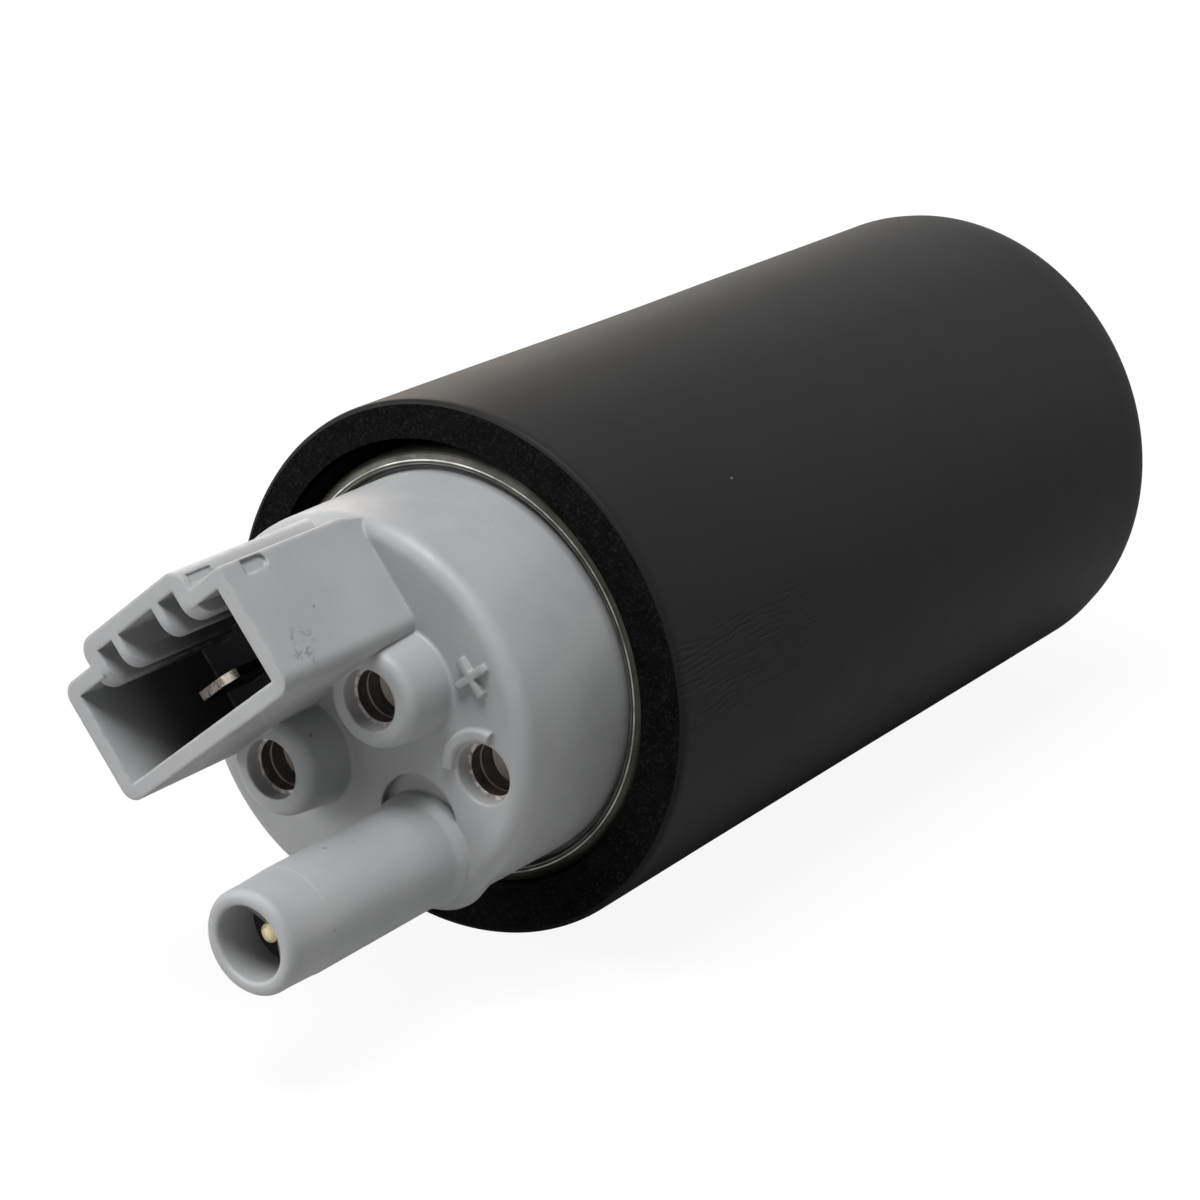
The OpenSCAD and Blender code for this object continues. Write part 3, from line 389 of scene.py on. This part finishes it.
cast_aluminium = finish("machined cast aluminium", (0.56, 0.565, 0.57), (0.49, 0.495, 0.5), metallic=1.0,
                        gloss=(0.36, 0.44), patch=260.0, grain=2200.0, bump=0.4, depth=0.00005, ring=1.2,
                        ring_scale=2600.0)
lay_spots(cast_aluminium, (0.3, 0.3, 0.31), 0.05, 1500.0, 0.2, strength=0.7, roughness=0.6)
coat_node(cast_aluminium, "outlet_port_plate", "inlet_body")
powder_steel = finish("oiled powder steel", (0.3, 0.3, 0.31), (0.18, 0.18, 0.19), metallic=1.0,
                      gloss=(0.3, 0.48), patch=400.0, grain=5000.0, bump=0.35, depth=0.00003, ring=0.5,
                      ring_scale=4000.0)
lay_spots(powder_steel, (0.06, 0.06, 0.06), 0.35, 2200.0, 0.4, roughness=0.6)
coat_node(powder_steel, "cam_ring", "outer_rotor", "inner_rotor")

# Seals: two black rubber rings in grooves, one in the inlet body and one in the end cap.

seal_rubber = finish("seal ring rubber", (0.028, 0.028, 0.028), (0.018, 0.018, 0.018),
                     gloss=(0.4, 0.6), patch=300.0, bump=0.1, level=0.4)
coat_node(seal_rubber, "inlet_seal", "end_cap_seal")

# Brush gear: a carbon brush on a spring under a thin pressed plug, with a copper shunt for the
# current. The plugs, and the relief valve's, are tinned cups with a dented floor. Their walls are
# painted dark as shade with one painted highlight line, and their floors are painted bright as if lit.

pressed_carbon = finish("pressed carbon", (0.06, 0.06, 0.065), (0.035, 0.035, 0.04),
                        gloss=(0.35, 0.6), patch=500.0, grain=6000.0, bump=0.3)
lay_spots(pressed_carbon, (0.4, 0.2, 0.1), 0.15, 3000.0, 0.35)
coat_node(pressed_carbon, "positive_brush", "negative_brush")
braided_copper = finish("braided copper", (0.68, 0.34, 0.18), (0.4, 0.18, 0.1), metallic=1.0,
                        gloss=(0.3, 0.5), patch=1500.0, grain=5000.0, bump=0.6, depth=0.0001)
coat_node(braided_copper, "positive_brush_shunt", "negative_brush_shunt")
spring_wire = finish("spring wire", (0.45, 0.45, 0.47), (0.33, 0.33, 0.35), metallic=1.0, gloss=(0.2, 0.32),
                     patch=600.0)
coat_node(spring_wire, "positive_brush_spring", "negative_brush_spring", "relief_spring",
          "check_valve_spring")


def staked_plug_finish(node):
    """A tinned cup: a rim bright in places, painted shade on the walls with one painted highlight line, and
    painted light on the dented floor.
    """
    made = finish("tinned cup of " + node, (0.9, 0.84, 0.8), (0.28, 0.25, 0.23), gloss=(0.28, 0.42),
                  patch=1500.0)
    tree = made.node_tree
    surface = tree.nodes.new("ShaderNodeTexCoord").outputs
    facing = split(tree, surface["Normal"])["Y"]
    along = split(tree, surface["Object"])["Y"]
    cup_low, cup_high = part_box(node)
    middle_y = (cup_low[1] + cup_high[1]) / 2
    flat = stretch(tree, maths(tree, "ABSOLUTE", facing), 0.5, 0.9)
    # A painted highlight line round the wall, near its middle.
    step = narrow_band(tree, along, middle_y - 0.00035, 0.00016)
    # The walls are painted dark as shade, apart from the highlight line.
    wall = blend_colours(tree, step, (0.04, 0.034, 0.03, 1), (0.5, 0.45, 0.41, 1))
    on_floor = maths(tree, "GREATER_THAN", along, middle_y)
    # The floor is painted bright as if lit.
    bright = blend_colours(tree, on_floor, source(made, "Base Color"), (0.96, 0.88, 0.83, 1))
    drive(made, "Base Color", blend_colours(tree, flat, wall, bright))
    drive(made, "Metallic", maths(tree, "MULTIPLY", flat, 0.12))
    dents = add(tree, "TexNoise", vector=surface["Object"], scale=900.0, detail=1.0)
    emboss(made, dents.outputs["Fac"], 0.7, 0.0004)
    return made


for plug in ("positive_brush_plug", "negative_brush_plug", "relief_plug"):
    coat_node(staked_plug_finish(plug), plug)

# Terminals: stamped blades of tinned copper. Plugging and unplugging scrapes the tin, so the blades
# are scratched along their length. Behind their tips they are painted dark as shade inside the socket,
# so only the tips show bright.

BLADE_TIP_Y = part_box("positive_terminal")[0][1]


def tinned_blade_finish():
    """Tin over copper, scratched along the blade, and painted dark as shade behind the tip."""
    made = finish("tinned blade copper", (0.74, 0.68, 0.6), (0.5, 0.42, 0.35), metallic=1.0,
                  gloss=(0.2, 0.38), patch=900.0)
    tree = made.node_tree
    place = object_place(tree)
    # 1 at the tip and 0 further back, where the blade is painted dark as shade.
    worn = stretch(tree, split(tree, place)["Y"], BLADE_TIP_Y + 0.0009, BLADE_TIP_Y + 0.0003)
    shade_on_blade = (0.07, 0.055, 0.045, 1)
    drive(made, "Base Color", blend_colours(tree, worn, shade_on_blade, source(made, "Base Color")))
    lengthen = add(tree, "Mapping", vector=place, scale=(1.0, 0.08, 1.0))
    scratches = add(tree, "TexNoise", vector=lengthen.outputs[0], scale=5000.0, detail=3.0)
    emboss(made, scratches.outputs["Fac"], 0.5, 0.0001)
    return made


coat_node(tinned_blade_finish(), "positive_terminal", "negative_terminal")

# Check valve: a black moulded cage holds a rubber faced poppet on a brass pin. The pin's end
# shows in the outlet.

black_moulding = finish("black moulding", (0.03, 0.03, 0.03), (0.018, 0.018, 0.018),
                        gloss=(0.4, 0.55), patch=300.0, bump=0.15)
coat_node(black_moulding, "check_valve_cage")
coat_node(seal_rubber, "check_valve_poppet")
turned_brass = finish("turned brass", (0.86, 0.75, 0.46), (0.74, 0.62, 0.35), metallic=0.5,
                      gloss=(0.4, 0.52), patch=900.0, bump=0.15, ring=1.0, ring_scale=5000.0)
coat_node(turned_brass, "check_valve_pin")

# Outlet end cap: one light grey moulding of filled plastic with a satin skin. Dark specks of
# regrind show in it, handling has rubbed its edges pale, and its plug socket is painted dark inside as
# shade.

# The cap's own frame is turned about the pump's axis. The scuffs and the painted shade in the socket are
# placed in it.
CAP_TURN = math.radians(38.8)
SCUFF_PLACE = (0.01125, -0.0678, 0.0055)
SOCKET_HALF_WIDTH = 0.01005
SOCKET_LOW = 0.004
SOCKET_HIGH = 0.0128
SOCKET_SHADE_FROM = -0.0707
SOCKET_SHADE_TO = -0.0625


def socket_shade(tree, cap_place):
    """0 outside the plug socket, rising to 1 on its inner walls towards the bottom, where shade is painted.
    """
    parts = split(tree, cap_place)
    narrow = maths(tree, "LESS_THAN", maths(tree, "ABSOLUTE", parts["X"]), SOCKET_HALF_WIDTH)
    above = maths(tree, "GREATER_THAN", parts["Z"], SOCKET_LOW)
    below = maths(tree, "LESS_THAN", parts["Z"], SOCKET_HIGH)
    within = maths(tree, "MULTIPLY", narrow, maths(tree, "MULTIPLY", above, below))
    deep = stretch(tree, parts["Y"], SOCKET_SHADE_FROM, SOCKET_SHADE_TO)
    return maths(tree, "MULTIPLY", within, deep)


def rub_edges(made, place):
    """Softens a material's edges a little and rubs them pale in places."""
    tree = made.node_tree
    softened = add(tree, "Bevel", radius=0.0004, samples=6).outputs["Normal"]
    tree.links.new(softened, source(made, "Normal").node.inputs["Normal"])
    true_normal = tree.nodes.new("ShaderNodeNewGeometry").outputs["Normal"]
    edge = stretch(tree, vector_maths(tree, "DOT_PRODUCT", softened, true_normal), 0.985, 0.9)
    breakup_noise = add(tree, "TexNoise", vector=place, scale=700.0, detail=4.0, roughness=0.65)
    rubbed = maths(tree, "MULTIPLY", edge, stretch(tree, breakup_noise.outputs["Fac"], 0.42, 0.6, 0.1, 0.6))
    lay_colour(made, rubbed, (0.56, 0.56, 0.56))


def grey_moulding_finish():
    """Satin grey plastic with regrind specks, a few dark scuffs, painted shade deep in the socket and pale
    edges.
    """
    made = finish("satin grey moulding", (0.382, 0.386, 0.392), (0.338, 0.343, 0.35),
                  gloss=(0.42, 0.56), patch=160.0, grain=3200.0, bump=0.14, depth=0.00003)
    lay_spots(made, (0.14, 0.14, 0.145), 0.07, 430.0, 0.1, strength=0.8)
    lay_spots(made, (0.2, 0.2, 0.21), 0.03, 1100.0, 0.22, strength=0.8)
    tree = made.node_tree
    place = object_place(tree)
    cap_place = add(tree, "Mapping", vector=place, rotation=(0.0, CAP_TURN, 0.0)).outputs[0]
    near = stretch(tree, vector_maths(tree, "DISTANCE", cap_place, SCUFF_PLACE), 0.0022, 0.0008)
    scrape = add(tree, "TexNoise", vector=place, scale=1500.0, detail=4.0, roughness=0.7)
    scuff = maths(tree, "MULTIPLY", near, stretch(tree, scrape.outputs["Fac"], 0.53, 0.6, 0.0, 0.55))
    lay_colour(made, scuff, (0.12, 0.12, 0.12))
    # Paints shade on the socket's inner walls, darker towards its bottom.
    lay_colour(made, maths(tree, "MULTIPLY", socket_shade(tree, cap_place), 0.88), (0.03, 0.03, 0.03))
    rub_edges(made, place)
    return made


coat_node(grey_moulding_finish(), "outlet_end_cap")

# Foam sleeve: a tube of black closed cell rubber foam, pushed over the case to quiet the pump.
# It is cut square from a long extrusion, so its skin is smooth and its ends show open cells.
# Fingers have left a band of fine creases at the front, and the bore gapes at the upper left.

SLEEVE_R = 0.024
SLEEVE_BORE = 0.0197
SLEEVE_HALF = 0.0425
FRONT_EDGE = 0.0005
BACK_EDGE = 0.0016
SKIN_STEP = 0.0005
UNEVEN_DEPTH = 0.00006
DENT_DEPTH = 0.00014
CREASE_DEPTH = 0.00016
CREASE_TURN = math.radians(8.5)
CREASE_SPREAD = math.radians(11)
GAPE_TURN = math.radians(130)
GAPE_DEPTH = 0.0011
GAPE_LENGTH = 0.02

# A point this near to a surface counts as on it.
CLOSE = 0.0001

# The crease lanes are laid out in millimetres.
MM = 0.001
CREASE_PITCH = 0.55
CREASE_HALF_WIDTH = 0.12
CREASE_FADES_FROM = 9
CREASE_ENDS_AT = 27


def crease_depth(angle, y):
    """How deep the creases are at a place on the skin, from 0 to 1. They run along the pump in lanes.
    The last coordinate of each noise only keeps it apart from the others."""
    window = max(0.0, 1 - ((angle - CREASE_TURN) / CREASE_SPREAD) ** 2)
    behind = (y + SLEEVE_HALF) / MM
    fade = min(1.0, max(0.0, (CREASE_ENDS_AT - behind) / (CREASE_ENDS_AT - CREASE_FADES_FROM)))
    if window <= 0 or fade <= 0:
        return 0.0
    across = angle * SLEEVE_R / MM
    meander = 0.5 * noise.noise(Vector((behind * 0.13, across * 0.3, 3.0)))
    lane = (across + meander) / CREASE_PITCH
    number = math.floor(lane + 0.5)
    side_step = 0.35 * noise.noise(Vector((number * 5.3, behind * 0.5, 5.0)))
    off = abs(lane - number - side_step) * CREASE_PITCH
    line = max(0.0, 1 - off / CREASE_HALF_WIDTH)
    presence = 0.45 + 2.4 * noise.noise(Vector((number * 3.7, behind * 0.36, 11.0)))
    return line * min(1.0, max(0.0, presence)) * min(1.0, 1.6 * window) * fade


def corner(radius, y, size, degrees):
    """Points of a rounded corner of the wall. Its centre is at a radius and a y."""
    turns = [math.radians(degree) for degree in degrees]
    return [(radius + size * math.cos(turn), y + size * math.sin(turn)) for turn in turns]


def sleeve_profile():
    """The wall's outline as (radius, y) round the loop, from the bore at the front."""
    face_r = SLEEVE_R - FRONT_EDGE
    back_r = SLEEVE_R - BACK_EDGE
    skin_front = FRONT_EDGE - SLEEVE_HALF
    skin_back = SLEEVE_HALF - BACK_EDGE
    points = [(SLEEVE_BORE + (face_r - SLEEVE_BORE) * i / 6, -SLEEVE_HALF) for i in range(7)]
    points += corner(face_r, skin_front, FRONT_EDGE, (-55, -25, 0))
    near = [skin_front + SKIN_STEP * i for i in range(1, 56)]
    far = [near[-1] + (skin_back - near[-1]) * i / 24 for i in range(1, 25)]
    points += [(SLEEVE_R, y) for y in near + far]
    points += corner(back_r, skin_back, BACK_EDGE, (20, 40, 60, 80))
    points += [(back_r - (back_r - SLEEVE_BORE) * i / 4, SLEEVE_HALF) for i in range(5)]
    points += [(SLEEVE_BORE, SLEEVE_HALF - 2 * SLEEVE_HALF * i / 28) for i in range(1, 28)]
    return points


def needs_columns(edge):
    """Whether an edge of the spun tube runs round it within the creased part of its turn."""
    first, second = (math.atan2(vert.co.z, vert.co.x) for vert in edge.verts)
    level = abs(edge.verts[0].co.y - edge.verts[1].co.y) < 1e-7
    around = 1e-4 < abs(first - second) < 1
    return level and around and abs((first + second) / 2 - CREASE_TURN) < CREASE_SPREAD


def foam_sleeve_mesh():
    """Spins the wall's outline and adds columns where the creases are."""
    mesh = bmesh.new()
    ring = [mesh.verts.new((radius, y, 0)) for radius, y in sleeve_profile()]
    loop = [mesh.edges.new(pair) for pair in zip(ring, ring[1:] + ring[:1])]
    bmesh.ops.spin(mesh, geom=ring + loop, cent=(0, 0, 0), axis=(0, 1, 0), angle=-2 * math.pi,
                   steps=240, use_merge=True, use_duplicate=False)
    dense = [edge for edge in mesh.edges if needs_columns(edge)]
    bmesh.ops.subdivide_edges(mesh, edges=dense, cuts=7, use_grid_fill=True)
    bmesh.ops.recalc_face_normals(mesh, faces=mesh.faces)
    return mesh


def true_radius(radius):
    """Puts an added column back on the circle that its chord cut across."""
    for circle in (SLEEVE_R, SLEEVE_BORE):
        if abs(radius - circle) < 0.00004:
            return circle
    return radius


def skin_sink(place, crease):
    """How far the skin lies inside its circle: slow unevenness, long dents behind, and creases."""
    uneven = noise.noise(Vector((place.x * 60, place.y * 35, place.z * 60)))
    dents = noise.noise(Vector((place.x * 110, place.y * 9, place.z * 110)))
    behind = min(1.0, (place.y + SLEEVE_HALF) / SLEEVE_HALF)
    return UNEVEN_DEPTH * (1 + uneven) + DENT_DEPTH * (1 + dents) * behind + CREASE_DEPTH * crease


def bore_gape(angle, y):
    """How far the bore stands open beside the case."""
    towards = max(0.0, math.cos(angle - GAPE_TURN)) ** 2
    near = max(0.0, 1 - (y + SLEEVE_HALF) / GAPE_LENGTH) ** 1.5
    return GAPE_DEPTH * towards * near


def work_foam(mesh):
    """Gives the skin its unevenness, dents and creases, and opens the bore."""
    depth_layer = mesh.verts.layers.float.new("crease")
    for vert in mesh.verts:
        radius = math.hypot(vert.co.x, vert.co.z)
        angle = math.atan2(vert.co.z, vert.co.x)
        wanted = true_radius(radius)
        if wanted > SLEEVE_R - CLOSE and abs(vert.co.y) < SLEEVE_HALF - CLOSE:
            crease = crease_depth(angle, vert.co.y)
            vert[depth_layer] = crease
            wanted -= skin_sink(vert.co, crease)
        if radius < SLEEVE_BORE + CLOSE:
            wanted += bore_gape(angle, vert.co.y)
        vert.co.x = wanted * math.cos(angle)
        vert.co.z = wanted * math.sin(angle)


def foam_skin_finish():
    """Dull black skin, with painted shade in the creases and a little pale dust."""
    made = finish("foam skin", (0.0096, 0.0093, 0.009), (0.0084, 0.0082, 0.008), gloss=(0.52, 0.54),
                  patch=70.0, grain=2600.0, bump=0.22, depth=0.00005, level=0.125)
    lay_spots(made, (0.3, 0.29, 0.26), 0.03, 400.0, 0.07, strength=0.7)
    tree = made.node_tree
    crease = add(tree, "Attribute", attribute_name="crease")
    # Paints shade into the creases, by their depth.
    lay_colour(made, maths(tree, "MULTIPLY", crease.outputs["Fac"], 0.8), (0.004, 0.004, 0.004))
    return made


def cut_foam_finish():
    """Open black cells, with small bright specks painted as glints where a cell wall catches the light."""
    made = finish("cut foam", (0.0045, 0.0045, 0.0045), (0.002, 0.002, 0.002), gloss=(0.75, 0.9),
                  patch=500.0, level=0.04)
    tree = made.node_tree
    cells = add(tree, "TexNoise", vector=object_place(tree), scale=4200.0, detail=2.0, roughness=0.7)
    emboss(made, cells.outputs["Fac"], 0.7, 0.0002)
    lay_colour(made, stretch(tree, cells.outputs["Fac"], 0.52, 0.72), (0.017, 0.017, 0.017))
    # Painted glints: small bright specks on the cut face.
    lay_spots(made, (0.25, 0.25, 0.24), 0.008, 1300.0, 0.14, strength=0.8)
    return made


sleeve_bmesh = foam_sleeve_mesh()
work_foam(sleeve_bmesh)
for face in sleeve_bmesh.faces:
    cut = abs(face.calc_center_median().y) > SLEEVE_HALF - 0.00002
    face.material_index = 1 if cut else 0
    face.smooth = not cut
sleeve_data = bpy.data.meshes.new("foam_sleeve_soft")
sleeve_bmesh.to_mesh(sleeve_data)
sleeve_bmesh.free()
sleeve = bpy.data.objects.new("foam_sleeve_soft", sleeve_data)
bpy.context.scene.collection.objects.link(sleeve)
sleeve_data.materials.append(foam_skin_finish())
sleeve_data.materials.append(cut_foam_finish())
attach(sleeve, "housing")
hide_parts("foam_sleeve")

# Studio: a wide floor that the camera sees as white, with the pump's faint shadow on it, a main
# lamp overhead, a weaker one on each side in front, and a warm one behind for the foam's upper edge.

WHITE = (1.0, 1.0, 1.0, 1)
FLOOR_RADIUS = 12.0

# Distances from the pump at which the share of the floor's own white starts to grow, and is full.
SHADOW_REACH = 0.14
PLAIN_FROM = 0.5


def seen_directly(tree, in_gloss):
    """1 for rays from the camera and through glass, and from gloss where asked, otherwise 0."""
    path = add(tree, "LightPath").outputs
    seen = maths(tree, "MAXIMUM", path["Is Camera Ray"], path["Is Transmission Ray"])
    if in_gloss:
        seen = maths(tree, "MAXIMUM", seen, path["Is Glossy Ray"])
    return seen


def floor_finish():
    """Near the pump a part of the floor's white comes from the lamps, so it takes a faint shadow.
    Further out all of its white is its own. It throws little light back up."""
    made = bpy.data.materials.new("pale studio floor")
    made.use_nodes = True
    tree = made.node_tree
    shader = tree.nodes["Principled BSDF"]
    shader.inputs["Base Color"].default_value = (0.5, 0.5, 0.5, 1)
    shader.inputs["Roughness"].default_value = 0.9
    glow = add(tree, "Emission", color=WHITE, strength=1.12)
    reach = vector_maths(tree, "LENGTH", object_place(tree))
    own_white = stretch(tree, reach, SHADOW_REACH, PLAIN_FROM, 0.82, 1.0)
    mix = tree.nodes.new("ShaderNodeMixShader")
    feed(tree, mix.inputs[0], maths(tree, "MULTIPLY", seen_directly(tree, in_gloss=False), own_white))
    feed(tree, mix.inputs[1], shader.outputs[0])
    feed(tree, mix.inputs[2], glow.outputs[0])
    feed(tree, tree.nodes["Material Output"].inputs["Surface"], mix.outputs[0])
    return made


floor_bmesh = bmesh.new()
bmesh.ops.create_circle(floor_bmesh, cap_ends=True, segments=96, radius=FLOOR_RADIUS)
bmesh.ops.translate(floor_bmesh, verts=floor_bmesh.verts, vec=(0, 0, cad_low.z))
floor_data = bpy.data.meshes.new("studio_floor")
floor_bmesh.to_mesh(floor_data)
floor_bmesh.free()
floor = bpy.data.objects.new("studio_floor", floor_data)
bpy.context.scene.collection.objects.link(floor)
floor_data.materials.append(floor_finish())

sky = bpy.data.worlds.new("studio sky")
bpy.context.scene.world = sky
sky.use_nodes = True
sky_glow = sky.node_tree.nodes["Background"]
sky_glow.inputs["Color"].default_value = WHITE
sky_seen = seen_directly(sky.node_tree, in_gloss=True)
sky_strength = stretch(sky.node_tree, sky_seen, 0.0, 1.0, 0.06, 1.0, smooth=False)
feed(sky.node_tree, sky_glow.inputs["Strength"], sky_strength)


def soft_lamp(name, place, size, watts, colour=(1, 1, 1)):
    """A square lamp that faces the pump."""
    data = bpy.data.lights.new(name, "AREA")
    data.shape = "SQUARE"
    data.size = size
    data.energy = watts
    data.color = colour
    lamp = bpy.data.objects.new(name, data)
    bpy.context.scene.collection.objects.link(lamp)
    aim = Vector(place).to_track_quat("Z", "Y").to_matrix().to_4x4()
    lamp.matrix_world = Matrix.Translation(place) @ aim


soft_lamp("main_lamp", (0.05, -0.3, 0.9), 0.5, 9.8)
soft_lamp("left_lamp", (-0.65, -0.7, 0.25), 0.5, 4.6)
soft_lamp("right_lamp", (0.6, -0.75, 0.1), 0.5, 0.35)
soft_lamp("back_lamp", (-0.65, 0.5, 0.3), 0.3, 1.4, (1.0, 0.86, 0.74))

# Camera: it stands where the photograph was taken from.

camera_data = bpy.data.cameras.new("camera")
camera_data.lens = 96.79
camera_data.sensor_width = 36
camera_data.clip_start = 0.01
camera = bpy.data.objects.new("camera", camera_data)
camera.location = (0.15863, -0.24592, 0.09944)
camera.rotation_euler = (math.radians(70.17), 0, math.radians(35.12))
bpy.context.scene.collection.objects.link(camera)
bpy.context.scene.camera = camera
bpy.context.scene.view_settings.view_transform = "Standard"
